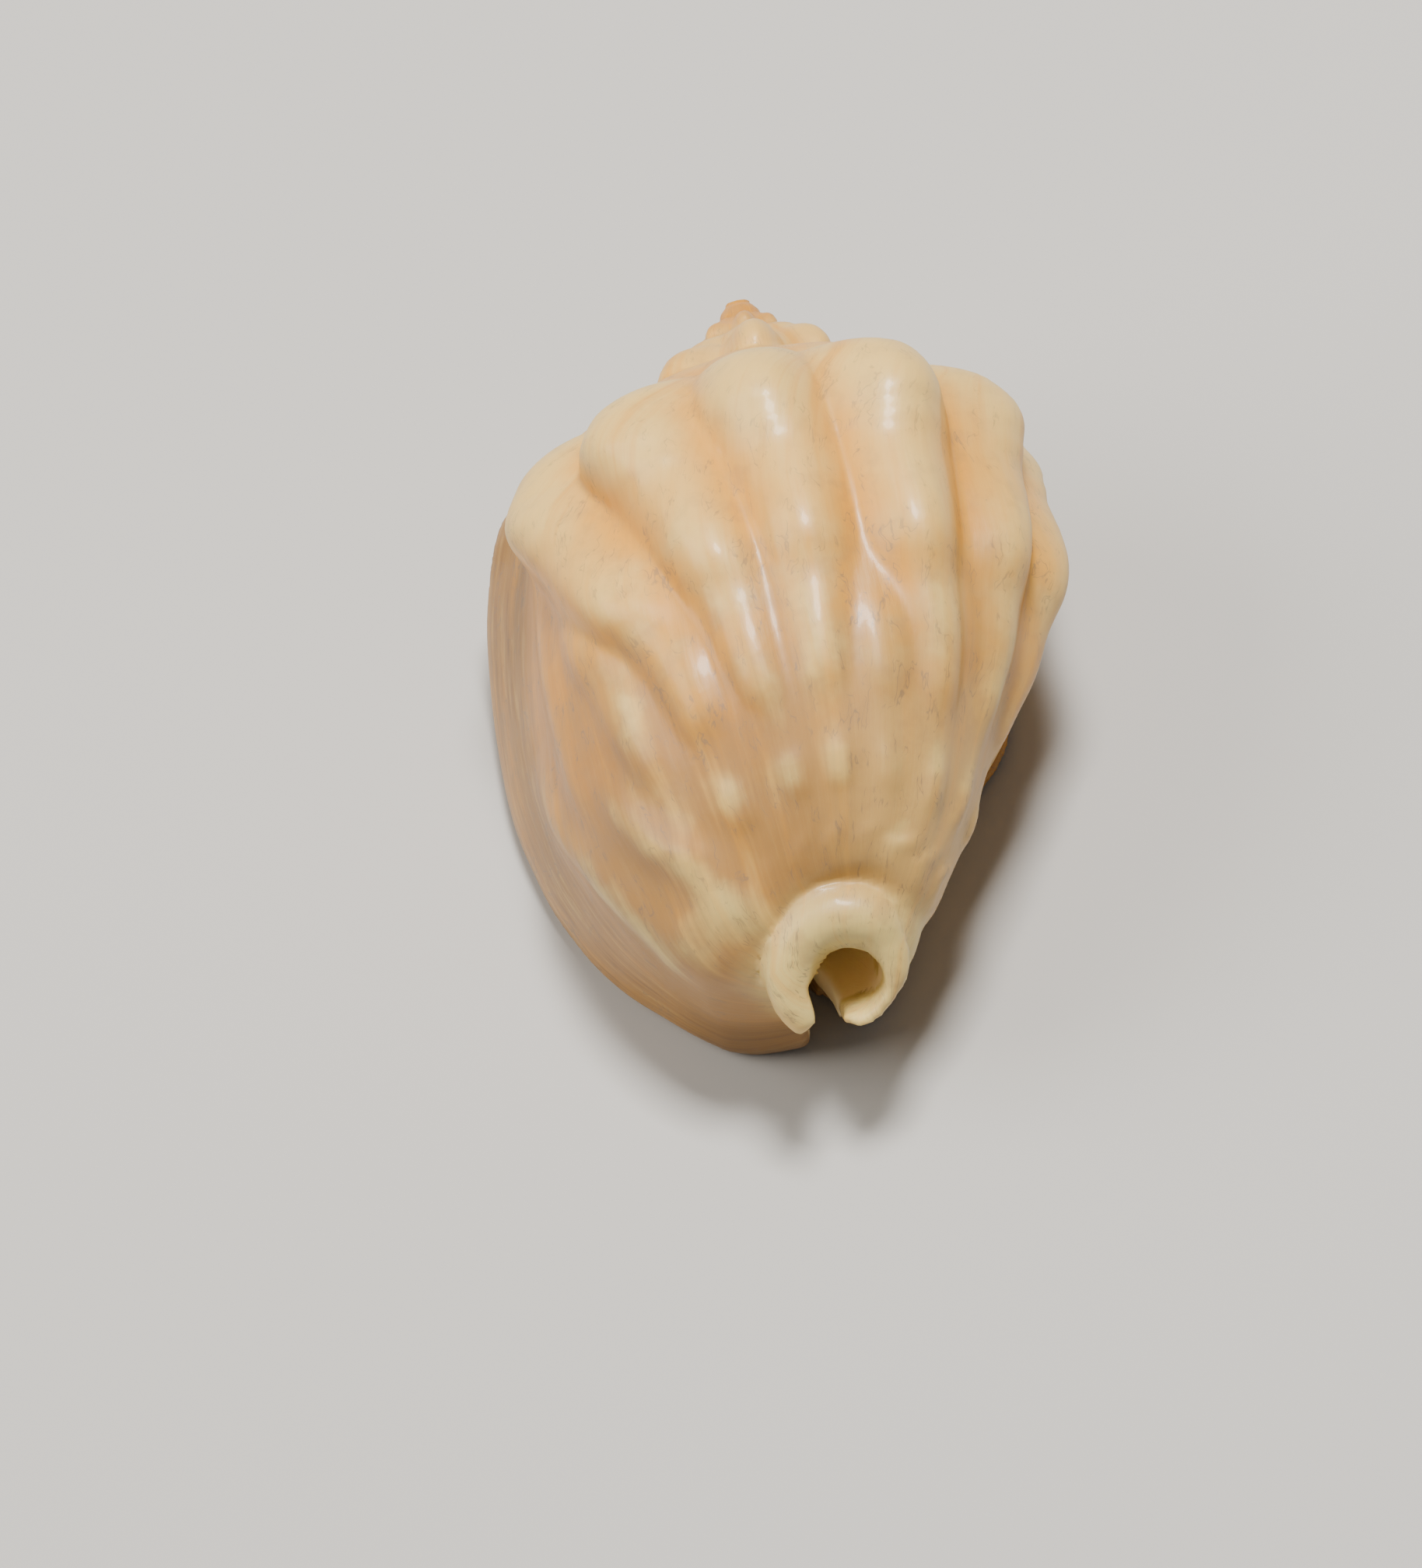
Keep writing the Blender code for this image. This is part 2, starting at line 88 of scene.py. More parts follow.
# Ribs: where each begins, how tall its knob is against the others, and its angle at the rows of nodes
ROWS = (13.5, 25, 35.3, 41.5, 45.3)
RIBS = [
    (16, 0.75, (-84, -58, -49, -48, -46)), (-7, 1.0, (-74, -45, -31, -31, -33)),
    (-7, 1.0, (-38, -19, -14, -12, -20)), (-7, 1.0, (0, 4, 2, 1, -7)), (22, 0.9, (20, 20, 18, 16, 6)),
    (-7, 1.16, (34, 31, 35, 33, 18)), (-7, 1.03, (71, 58, 57, 51, 31)), (-7, 1.06, (104, 82, 80, 74, 48)),
    (-7, 1.0, (140, 128, 122, 112, 80)), (-7, 1.0, (176, 168, 160, 150, 120)),
]
RIB_RISE = 16.0
RIB_HEIGHT = [(6.5, 0), (8, 1.4), (9.5, 2.4), (11.6, 4.4), (13.8, 4.2), (17, 3.1), (20.5, 2.4), (24.4, 2.5),
              (29.5, 1.3), (34.5, 1.2), (38.4, 0.45), (41.3, 0.8), (43.4, 0.35), (45.2, 0.6), (47, 0)]
RIB_WIDTH = [(8, 3.2), (10, 3.6), (14.6, 3.9), (24.4, 3.0), (35.3, 1.8), (41.5, 1.35), (45.3, 1.1)]
RIB_SQUARE = 2.2
RIB_BLEND = 0.6

# Long low ribs beside the lip, which follow its edge: angle and height against the distance along
# the axis, and half width
LIP_RIBS = [
    ([(30, -98), (35, -93), (41.9, -83), (50.5, -76)], [(28, 0), (37, 1.0), (47, 0.9), (51, 0)], 1.9),
    ([(36, -66), (41.8, -58), (44.4, -52), (47.9, -49), (49.5, -46)],
     [(35, 0), (42, 0.8), (47, 0.9), (50, 0)], 1.4),
    ([(12, -92), (20, -86), (28, -80), (36, -76), (44, -70)], [(10, 0), (20, 0.5), (32, 0.5), (44, 0)], 1.8),
]

# Outer edge of the lip: distance to the left of the axis, and depth under it
LIP_SIDE = [(8, 14.8), (9.5, 17.2), (11, 19.0), (14, 20.6), (17, 21.3), (26, 21.9), (34, 20.9),
            (39.4, 19.1), (42.7, 17.3), (46, 14.5), (49.3, 11.0), (51.5, 7.6)]
LIP_DEPTH = [(8, 2), (11, 5), (14, 9), (17, 11), (22, 12.6), (26, 12.8), (34, 12.0), (42, 11.0), (50, 10.2)]
LIP_FLARE = 16.0
LIP_ROUND = 0.05
LIP_LATE = 5.0
LIP_END = 2.6

# Front end under the canal: how far it reaches against the distance to the right of the axis, along
# a direction that leans down from the axis
FRONT = [(-16, 49.5), (-11.3, 50.2), (-8.2, 50.0), (-6.3, 50.0), (-5.2, 49.4), (-4.5, 48.3), (-3.6, 46.5),
         (-2.8, 47.3), (-1.7, 49.0), (0.2, 48.1), (2.1, 46.0), (5, 42.0), (12, 40.0)]
FRONT_LEAN = 25.0

# Aperture: distance of the slit's middle to the left of the axis, its half width, and its teeth
SLIT_LINE = [(11, 9.6), (18, 11.6), (26, 12.2), (34, 11.3), (40, 9.4), (44, 7.2), (47, 5.4), (50, 4.1),
             (54, 3.7)]
SLIT_HALF = [(11, 1.5), (16, 2.3), (34, 2.3), (44, 1.8), (50, 1.1), (54, 1.0)]
SLIT_BACK = 14.5
SLIT_GAP = 4.6
SLIT_RISE = 7.0
TOOTH_PITCH = 2.6
WALL = 2.2
CORE = 3.4

# Parietal shield: a plate on the ground side, from the slit to its margin at the right
MARGIN = [(9, 3.0), (11, 8.0), (16, 11.8), (22, 13.4), (28.3, 12.7), (34.8, 8.7), (41.2, 4.7), (47.8, 1.3),
          (49, 0.6)]
SHIELD_BACK = 9.0
SHIELD_FRONT = 49.0
SHIELD_THICK = 2.2
SHIELD_RIM = 1.7
SHIELD_DISH = 0.7

# Canal: middle, width and height of its mouth, and the direction that the mouth faces
MOUTH = (-1.9, 52.1, 2.8)
MOUTH_HALF = (2.25, 2.6)
MOUTH_FACE = 53.0
COLLAR_TURN = (-126, 187)
COLLAR = [(-126, 1.3), (-90, 1.6), (-30, 1.9), (10, 2.0), (60, 1.3), (90, 0.95), (126, 0.5), (180, 0.35)]
THROAT = [((-2.0, 51.7, 2.6), 3.0), ((-2.0, 50.6, 0.9), 3.5), ((-2.1, 48.6, -1.2), 4.3),
          ((-2.0, 45.5, -3.2), 5.6), ((-1.8, 41.0, -4.0), 6.0)]
BORE = [((-1.8, 54.6, 5.9), 2.4), ((-1.8, 52.4, 3.0), 2.3), ((-1.9, 50.7, 1.4), 2.4),
        ((-2.2, 48.4, -0.2), 2.4), ((-2.9, 45.6, -2.2), 2.3), ((-4.4, 42.2, -5.2), 2.1),
        ((-6.5, 38.0, -8.5), 2.0)]

# Notch under the canal, where the aperture ends: its start beside and over the middle of the mouth,
# how it turns from there, the direction it faces, its depth, and its half width
NOTCH_START = (-2.7, 0.4)
NOTCH_TURN = 165.0
NOTCH_FACE = 65.0
NOTCH_DEPTH = 10.0
NOTCH_HALF = [(0, 0.2), (0.7, 0.25), (3.3, 0.75), (12, 2.0)]

# Hollow of the last whorl: the angles it runs between, the middle and half of its length along the
# axis, and how much shorter it is at its narrow end
HOLLOW_TURN = (-146, 40)
HOLLOW_MIDDLE = 27.5
HOLLOW_HALF = 14.5
HOLLOW_TAPER = 0.75

# How far apart two forms are, in millimetres, where their join begins to round over
EDGE_BLEND = 0.9
SHIELD_BLEND = 1.5

# Fine form: the finest detail of the mesh, and the depth of the growth lines and the degrees from one
# to the next. How pale a rib is: the relief that is fully pale, and how pale each millimetre of the
# long ribs beside the lip is
GRAIN = 0.345
LINE_DEPTH = 0.05
LINE_PITCH = 2.2
RIB_CREST = 3.6
LIP_CREST = 0.3

# Colours of the marks, in linear light
DEEP_HONEY = (0.40, 0.16, 0.03)
LIP_BROWN = (0.2, 0.1, 0.02)
STREAK_BROWN = (0.2, 0.1, 0.04)
MOTTLE_BROWN = (0.34, 0.19, 0.08)
CRACK_GREY = (0.2, 0.14, 0.09)
# Painted shade on the front end of the lip, which the light from above leaves dark
FRONT_SHADE = (0.15, 0.07, 0.015)

# The photo's view: degrees that the camera stands to the front of straight over the back, and its
# roll; what it aims at from the apex, to the right and to the front; and the width that it takes in
VIEW_LIFT = 25.0
VIEW_ROLL = 11.5
AIM_SIDE = -8.228
AIM_FRONT = 31.46
VIEW_WIDTH = 106.105
SENSOR = 36


class Field:
    """A value that a node works out, so that sums over nodes can be written as in Python."""

    def __init__(self, graph, socket):
        self.graph, self.socket = graph, socket

    def __add__(self, other):
        return self.graph.math("ADD", self, other)

    def __sub__(self, other):
        return self.graph.math("SUBTRACT", self, other)

    def __rsub__(self, other):
        return self.graph.math("SUBTRACT", other, self)

    def __mul__(self, other):
        return self.graph.math("MULTIPLY", self, other)

    def __truediv__(self, other):
        return self.graph.math("DIVIDE", self, other)

    def __rtruediv__(self, other):
        return self.graph.math("DIVIDE", other, self)

    def __pow__(self, other):
        return self.graph.math("POWER", self, other)

    def __neg__(self):
        return self * -1

    __radd__ = __add__
    __rmul__ = __mul__


class Graph:
    """A node tree under construction, of geometry or of a material."""

    def __init__(self, tree):
        self.tree = tree

    def add(self, kind, sockets=None, **settings):
        """Adds a node with the given settings, and fills or links its sockets by name or place."""
        node = self.tree.nodes.new(kind)
        for name, value in settings.items():
            setattr(node, name, value)
        for key, value in (sockets or {}).items():
            self.fill(node.inputs[key], value)
        return node

    def fill(self, socket, value):
        """Sets a socket to a value, or links it to a field or another node's socket."""
        if isinstance(value, Field):
            value = value.socket
        if isinstance(value, bpy.types.NodeSocket):
            self.tree.links.new(value, socket)
        else:
            socket.default_value = value

    def field(self, kind, sockets=None, output=0, **settings):
        """Adds a node and gives one of its outputs as a field."""
        return Field(self, self.add(kind, sockets, **settings).outputs[output])

    def math(self, operation, *values):
        return self.field("ShaderNodeMath", dict(enumerate(values)), operation=operation)

    def largest(self, *values):
        result = values[0]
        for value in values[1:]:
            result = self.math("MAXIMUM", result, value)
        return result

    def clamp(self, value, low, high):
        return self.math("MINIMUM", self.math("MAXIMUM", value, low), high)

    def mix(self, factor, a, b):
        return (b - a) * factor + a

    def between_ends(self, factor):
        """0 where the factor is 0 or 1, which closes a form to a point there, and 1 between."""
        return self.math("LESS_THAN", self.math("ABSOLUTE", factor - 0.5), 0.4999)

    def ease(self, value, start, end):
        """0 before the start, 1 after the end, and a smooth rise between them."""
        sockets = {"Value": value, "From Min": start, "From Max": end}
        return self.field("ShaderNodeMapRange", sockets, interpolation_type="SMOOTHSTEP")

    def curve(self, points, value):
        """Smooth curve through the points, level past its ends."""
        xs, ys = zip(*points)
        low, tall = min(ys), max(ys) - min(ys)
        node = self.add("ShaderNodeFloatCurve", {"Value": (value - xs[0]) / (xs[-1] - xs[0])})
        node.mapping.extend = "HORIZONTAL"
        line = node.mapping.curves[0]
        for x, y in points:
            place = ((x - xs[0]) / (xs[-1] - xs[0]), (y - low) / tall)
            if x in (xs[0], xs[-1]):
                point = line.points[0 if x == xs[0] else -1]
                point.location = place
            else:
                point = line.points.new(*place)
            point.handle_type = "AUTO_CLAMPED"
        node.mapping.update()
        return Field(self, node.outputs[0]) * tall + low

    def split(self, vector):
        node = self.add("ShaderNodeSeparateXYZ", {0: vector})
        return [Field(self, socket) for socket in node.outputs]

    def combine(self, x, y, z):
        return self.field("ShaderNodeCombineXYZ", {0: x, 1: y, 2: z})


class FormGraph(Graph):
    """A Geometry Nodes tree with named inputs, which ends in realized geometry of one material."""

    def __init__(self, name):
        super().__init__(bpy.data.node_groups.new(name, "GeometryNodeTree"))
        self.tree.is_modifier = True
        self.tree.interface.new_socket(name="Geometry", in_out="INPUT", socket_type="NodeSocketGeometry")
        self.tree.interface.new_socket(name="Geometry", in_out="OUTPUT", socket_type="NodeSocketGeometry")
        self.entry = self.add("NodeGroupInput")

    def size(self, name, default):
        """A named input of the tree, as a field."""
        kind = "NodeSocketInt" if isinstance(default, int) else "NodeSocketFloat"
        made = self.tree.interface.new_socket(name=name, in_out="INPUT", socket_type=kind)
        made.default_value = default
        return Field(self, self.entry.outputs[name])

    def grid(self, columns, rows):
        """A grid as geometry, and how far each point is across (0 to 1) and up (0 to 1)."""
        sockets = {"Size X": 1.0, "Size Y": 1.0, "Vertices X": columns, "Vertices Y": rows}
        mesh = self.add("GeometryNodeMeshGrid", sockets).outputs["Mesh"]
        across, up, _ = self.split(self.add("GeometryNodeInputPosition").outputs[0])
        return mesh, across + 0.5, up + 0.5

    def block(self, x, y, z):
        """A block as geometry, with its points counted each way, and its fields from 0 to 1."""
        node = self.add("GeometryNodeMeshCube", {"Size": (1, 1, 1), 1: x, 2: y, 3: z})
        fields = self.split(self.add("GeometryNodeInputPosition").outputs[0])
        return node.outputs["Mesh"], *(field + 0.5 for field in fields)

    def spot(self, side, along, up):
        """Place in metres of a point given in the shell's own directions."""
        cosine, sine = math.cos(DIP), math.sin(DIP)
        y = APEX[1] - along * cosine - up * sine
        z = APEX[2] - along * sine + up * cosine
        return self.combine((side + APEX[0]) * MM, y * MM, z * MM)

    def place(self, geometry, side, along, up, turned=False):
        """Moves points to the place given in the shell's own directions, and closes seams."""
        spot = self.spot(side, along, up)
        moved = self.add("GeometryNodeSetPosition", {"Geometry": geometry, "Position": spot})
        joined = self.add("GeometryNodeMergeByDistance", {"Geometry": moved.outputs[0], "Distance": 1e-6})
        if turned:
            joined = self.add("GeometryNodeFlipFaces", {"Mesh": joined.outputs[0]})
        return joined.outputs[0]

    def place_round(self, geometry, angle, along, radius):
        turn = self.math("RADIANS", angle)
        sine, cosine = self.math("SINE", turn), self.math("COSINE", turn)
        return self.place(geometry, sine * radius, along, cosine * radius, turned=True)

    def tube(self, points, count, sides):
        """A closed tube along a path of points (side, along, up) with their radii."""
        steps = [i / (len(points) - 1) for i in range(len(points))]
        columns = list(zip(*((*point, radius) for point, radius in points)))
        curves = [list(zip(steps, column)) for column in columns]
        return self.pipe(lambda factor: [self.curve(curve, factor) for curve in curves], count, sides)

    def pipe(self, path, count, sides):
        """A closed tube whose path gives side, along, up and radius from a factor along it."""
        line = self.add("GeometryNodeCurvePrimitiveLine", {"Start": (0, 0, 0), "End": (1, 0, 0)})
        dotted = self.add("GeometryNodeResampleCurve", {"Curve": line.outputs[0], "Count": count})
        factor = self.field("GeometryNodeSplineParameter")
        side, along, up, radius = path(factor)
        kept = self.add("GeometryNodeCaptureAttribute", {"Geometry": dotted.outputs[0]})
        kept.capture_items.new("FLOAT", "radius")
        self.fill(kept.inputs["radius"], radius * MM)
        spot = self.spot(side, along, up)
        bent = self.add("GeometryNodeSetPosition", {"Geometry": kept.outputs[0], "Position": spot})
        ring = self.add("GeometryNodeCurvePrimitiveCircle", {"Resolution": sides, "Radius": 1.0})
        sockets = {"Curve": bent.outputs[0], "Profile Curve": ring.outputs[0],
                   "Scale": kept.outputs["radius"], "Fill Caps": True}
        return self.add("GeometryNodeCurveToMesh", sockets).outputs[0]

    def finish(self, parts, material):
        """Joins the parts, realizes them and gives them the material."""
        joined = self.add("GeometryNodeJoinGeometry")
        for part in parts:
            self.tree.links.new(part, joined.inputs[0])
        real = self.add("GeometryNodeRealizeInstances", {0: joined.outputs[0]})
        painted = self.add("GeometryNodeSetMaterial", {"Geometry": real.outputs[0], "Material": material})
        end = self.add("NodeGroupOutput")
        self.tree.links.new(painted.outputs[0], end.inputs[0])
        return self.tree


def ground(along):
    """Depth of the ground straight under the axis, in the shell's own directions."""
    return (APEX[2] + FLAT - along * math.sin(DIP)) / math.cos(DIP)


def growth(g, turns):
    """Size of the whorl, against 1 in the middle of the back."""
    log = g.curve(GROWTH, turns) - g.math("MAXIMUM", turns - GROWTH[-1][0], 0) * SPIRE_GROWTH
    return g.math("EXPONENT", log)


def rib_relief(g, angle, along, knobs):
    """Height of the knobs and ribs over the whorl."""
    height = g.curve(RIB_HEIGHT, along) * knobs
    reach = g.curve(WHORL, along) * (math.pi / 180) / g.curve(RIB_WIDTH, along)
    relief = along * 0
    for begin, tall, angles in RIBS:
        line = g.curve(list(zip(ROWS, angles)), along)
        off = g.math("ABSOLUTE", (angle - line) * reach)
        across = g.math("EXPONENT", -(off ** RIB_SQUARE))
        own = height * tall * across * g.ease(along, begin, begin + RIB_RISE)
        relief = g.math("SMOOTH_MAX", relief, own, RIB_BLEND)
    return relief


def lip_relief(g, angle, along, knobs):
    """Height of the long ribs beside the lip."""
    relief = along * 0
    for line, heights, width in LIP_RIBS:
        off = (angle - g.curve(line, along)) * g.curve(WHORL, along) * (math.pi / 180 / width)
        relief = relief + g.curve(heights, along) * g.math("EXPONENT", -(off * off))
    return relief * knobs


def body_radius(g, angle, along, knobs):
    """Radius of the whole coil: the largest of its whorls and the rounded apex."""
    near = g.math("MINIMUM", along, APEX_DOME)
    dome = g.math("SQRT", g.math("MAXIMUM", APEX_DOME ** 2 - (APEX_DOME - near) ** 2, 0))
    size = growth(g, angle / 360)
    lift = g.ease(-angle, 40, 80) * (1 - g.ease(along, 8, 16)) * LEFT_LIFT
    local = along / size + lift
    wrapped = g.math("FLOORED_MODULO", angle + 180, 360) - 180
    narrow = g.curve(NARROW, along) * g.curve(NARROW_SIDE, wrapped)
    last = size * (g.curve(WHORL, local) * (1 - narrow) + rib_relief(g, angle, local, knobs))
    whorls = [dome, last]
    crest, spread, least, more = SPIRE_BACK
    beat = g.math("COSINE", g.math("RADIANS", (angle - crest) * SPIRE_KNOBS)) * 0.5 + 0.5
    bumps = beat * (g.math("EXPONENT", -(((angle - crest) / spread) ** 2)) * more + least)
    for turn in range(1, WHORLS):
        size = growth(g, angle / 360 + turn)
        local = along / size
        whorls.append(size * (g.curve(WHORL, local) + g.curve(RIB_HEIGHT, local) * bumps * knobs + 0.3))
    return g.largest(*whorls)


def lip_edge(g, along):
    """Angle round the axis and radius of the outer edge of the lip."""
    side, depth = g.curve(LIP_SIDE, along), g.curve(LIP_DEPTH, along)
    angle = -g.math("DEGREES", g.math("ARCTAN2", side, -depth))
    return angle, g.math("SQRT", side * side + depth * depth)


def slit_sides(g, along):
    """Distances to the left of the axis of the lip's inner edge and of the columella's edge."""
    middle, half = g.curve(SLIT_LINE, along), g.curve(SLIT_HALF, along)
    return middle + half, middle - half


def shield_fill(g, angle, along):
    """Radius of the callus that fills the ground side between the columella and the right margin."""
    turn = g.math("RADIANS", angle)
    sine, down = g.math("SINE", turn), -g.math("COSINE", turn)
    left = slit_sides(g, along)[1] + (1 - g.ease(along, SLIT_BACK - 1, SLIT_BACK + 2)) * SLIT_GAP
    right = g.curve(MARGIN, along) - SHIELD_RIM
    reach = g.mix(g.math("GREATER_THAN", sine, 0), left, right)
    wall = reach / g.math("MAXIMUM", g.math("ABSOLUTE", sine), 0.05)
    bed = (ground(along) - SHIELD_DISH) / g.math("MAXIMUM", down, 0.1)
    shown = g.math("GREATER_THAN", down, 0.1) * g.ease(along, SHIELD_BACK - 2, SHIELD_BACK + 3)
    return g.math("MINIMUM", wall, bed) * shown


def skin_radius(g, angle, along, knobs, spread):
    """Radius of the outside of the shell and its lip, before the margin, the canal and the hollow."""
    inner = slit_sides(g, along)[0] - 0.5
    behind = g.math("LESS_THAN", angle, g.math("DEGREES", g.math("ARCTAN2", inner, ground(along))) - 180)
    radius = body_radius(g, angle + behind * 360, along, knobs)
    edge_angle, edge = lip_edge(g, along)
    off = angle - edge_angle
    outside = g.math("MAXIMUM", off, 0) / spread
    late = along - g.ease(-off, -10, 35) * LIP_LATE
    flare = g.math("EXPONENT", -(outside ** 1.3)) * g.ease(late, 6, 10)
    lip = g.math("MAXIMUM", radius, g.mix(flare, radius, edge)) + lip_relief(g, angle, along, knobs)
    filled = g.math("SMOOTH_MAX", radius, shield_fill(g, angle, along), SHIELD_BLEND)
    ground_side = g.math("MAXIMUM", behind, g.math("GREATER_THAN", angle, 95))
    radius = g.mix(ground_side, lip, filled)
    down = g.math("MAXIMUM", -g.math("COSINE", g.math("RADIANS", angle)), 0.1)
    side = ground(along) * g.math("SQRT", 1 / (down * down) - 1)
    contact = g.clamp(side - g.curve(LIP_SIDE, along) + 4.0, -5, 5)
    arched = g.math("LESS_THAN", g.math("MAXIMUM", behind * 200, angle), 0)
    floor = (ground(along) - contact * contact * arched * LIP_ROUND) / down
    end = g.clamp((along - (LENGTH - LIP_END)) / LIP_END, 0, 1)
    radius = g.math("SMOOTH_MIN", radius, floor, EDGE_BLEND) * g.math("SQRT", 1 - end * end)
    lean = math.radians(FRONT_LEAN)
    left = g.curve(FRONT, radius * g.math("SINE", g.math("RADIANS", angle))) - along * math.cos(lean)
    reach = g.math("MAXIMUM", left, 0.1) / (down * math.sin(lean))
    front = g.math("SMOOTH_MIN", radius, reach, EDGE_BLEND)
    return g.mix(g.math("GREATER_THAN", down, 0.101), radius, front)


def outer_forms(material):
    """Node tree of the coil with its lip, the shield, the canal's collar and its throat."""
    g = FormGraph("helmet_outside")
    knobs, spread = g.size("Knobs", 1.0), g.size("Lip spread", LIP_FLARE)
    thick, rim = g.size("Shield thickness", SHIELD_THICK), g.size("Collar", 1.0)
    skin, across, up = g.grid(g.size("Steps round", 361), g.size("Steps along", 240))
    angle = (across - g.math("GREATER_THAN", across, 0.9999)) * 360 - 180
    along = (1 - g.math("COSINE", up * math.pi)) * (LENGTH / 2)
    radius = skin_radius(g, angle, along, knobs, spread) * g.between_ends(up)
    coil = g.place_round(skin, angle, along, radius)
    collar = g.pipe(lambda factor: collar_path(g, factor, rim), 60, 24)
    return g.finish([coil, shield_form(g, thick), collar, g.tube(THROAT, 24, 32)], material)


def collar_path(g, factor, rim):
    """The thick rim of the canal, open at the lower left."""
    start, end = COLLAR_TURN
    turn = factor * (end - start) + start
    thick = g.curve(COLLAR, turn) * rim
    sine, cosine = g.math("SINE", g.math("RADIANS", turn)), g.math("COSINE", g.math("RADIANS", turn))
    side = sine * (thick + MOUTH_HALF[0]) + MOUTH[0]
    out = cosine * (thick + MOUTH_HALF[1])
    face = math.radians(MOUTH_FACE)
    return side, MOUTH[1] - out * math.sin(face), MOUTH[2] + out * math.cos(face), thick


def shield_form(g, thick):
    """The parietal shield as a plate, dished a little on the ground side."""
    mesh, around, up = g.grid(49, 90)
    turn = around * math.tau
    ahead = g.math("RADIANS", up * 156 + 12)
    middle, half = (SHIELD_BACK + SHIELD_FRONT) / 2, (SHIELD_FRONT - SHIELD_BACK) / 2
    along = middle - g.math("COSINE", ahead) * half
    left, right = 0.6 - slit_sides(g, along)[1], g.curve(MARGIN, along)
    cosine, sine = g.math("COSINE", turn), g.math("SINE", turn)
    wide = g.math("SIGN", cosine) * g.math("ABSOLUTE", cosine) ** 0.8
    tall = g.math("SIGN", sine) * g.math("ABSOLUTE", sine) ** 0.8
    inside = g.between_ends(up)
    side = (left + right) / 2 + (right - left) / 2 * wide * inside
    slim = g.math("MINIMUM", g.math("SINE", ahead) * 2.5, 1)
    rise = thick / 2 * tall * slim * inside
    dish = g.math("EXPONENT", -(((side - 2) / 6) ** 2)) * g.math("LESS_THAN", rise, 0) * SHIELD_DISH
    return g.place(mesh, side, along, rise + dish + thick / 2 - ground(along))


def hollow_forms(material):
    """Node tree of what is cut away: the hollow of the last whorl, the aperture and the canal."""
    g = FormGraph("helmet_hollow")
    mesh, around, up = g.grid(37, 60)
    start, end = HOLLOW_TURN
    turn, angle = around * math.tau, up * (end - start) + start
    inside = g.between_ends(up)
    outer = growth(g, angle / 360) * 0.97
    inner = growth(g, angle / 360 + 1)
    half = (g.math("SQRT", g.ease(angle, end, -20)) * HOLLOW_TAPER + 1 - HOLLOW_TAPER) * HOLLOW_HALF
    along = g.math("COSINE", turn) * half * inside + HOLLOW_MIDDLE
    far = outer * g.curve(WHORL, along / outer) - WALL
    near = g.math("MAXIMUM", inner * g.curve(WHORL, along / inner) + 1.6, CORE)
    swell = g.math("SINE", turn) * 0.5 * inside + 0.5
    radius = g.mix(swell, near, g.math("MAXIMUM", far, near + 0.8))
    hollow = g.place_round(mesh, angle, along, radius)
    return g.finish([hollow, slit_form(g), g.tube(BORE, 40, 32), notch_form(g)], material)


def slit_form(g):
    """The opening between the lip and the columella, from the ground into the hollow."""
    mesh, x, y, z = g.block(2, 120, 2)
    along = y * (LENGTH + 3 - SLIT_BACK) + SLIT_BACK
    lip, columella = slit_sides(g, along)
    rise = g.ease(along, 43, 50) * SLIT_RISE + 5
    return g.place(mesh, g.mix(x, -lip, -columella), along, z * rise - ground(along) - 1, turned=True)


def notch_form(g):
    """The notch under the canal, as a slab from beside the middle of the mouth outwards."""
    mesh, x, y, z = g.block(2, 2, 24)
    face, turn = math.radians(NOTCH_FACE), math.radians(NOTCH_TURN)
    side, facing = Vector((1, 0, 0)), Vector((0, math.cos(face), math.sin(face)))
    down = Vector((0, math.sin(face), -math.cos(face)))
    start = Vector(MOUTH) + side * NOTCH_START[0] - down * NOTCH_START[1]
    out = side * math.sin(turn) - down * math.cos(turn)
    reach = z * NOTCH_HALF[-1][0]
    wide = g.curve(NOTCH_HALF, reach) * (x * 2 - 1)
    deep = y * (NOTCH_DEPTH + 3) - NOTCH_DEPTH
    steps = ((out, reach), (out.cross(facing), wide), (facing, deep))
    point = [sum((distance * direction[i] for direction, distance in steps), start[i]) for i in range(3)]
    return g.place(mesh, *point)


def tooth_forms(material):
    """Node tree of the teeth inside the lip and the folds on the columella."""
    g = FormGraph("helmet_teeth")
    pitch = g.size("Pitch", TOOTH_PITCH)
    parts = []
    for edge, lean, size in ((0, 8, (1.5, 0.62, 0.8)), (1, -24, (1.7, 0.5, 0.6))):
        line = g.add("GeometryNodeCurvePrimitiveLine", {"Start": (0, 0, 0), "End": (1, 0, 0)})
        fine = g.add("GeometryNodeResampleCurve", {"Curve": line.outputs[0], "Count": 60})
        along = g.field("GeometryNodeSplineParameter") * 27 + 17
        side = -slit_sides(g, along)[edge]
        spot = g.spot(side, along, 1.0 - ground(along))
        bent = g.add("GeometryNodeSetPosition", {"Geometry": fine.outputs[0], "Position": spot})
        spaced = {"Curve": bent.outputs[0], "Length": pitch * MM}
        dots = g.add("GeometryNodeResampleCurve", spaced, mode="LENGTH")
        ball = g.add("GeometryNodeMeshUVSphere", {"Segments": 16, "Rings": 10, "Radius": MM})
        turned = g.add("FunctionNodeEulerToRotation", {"Euler": (0, 0, math.radians(lean))})
        sockets = {"Points": dots.outputs[0], "Instance": ball.outputs["Mesh"],
                   "Rotation": turned.outputs[0], "Scale": size}
        parts.append(g.add("GeometryNodeInstanceOnPoints", sockets).outputs[0])
    return g.finish(parts, material)


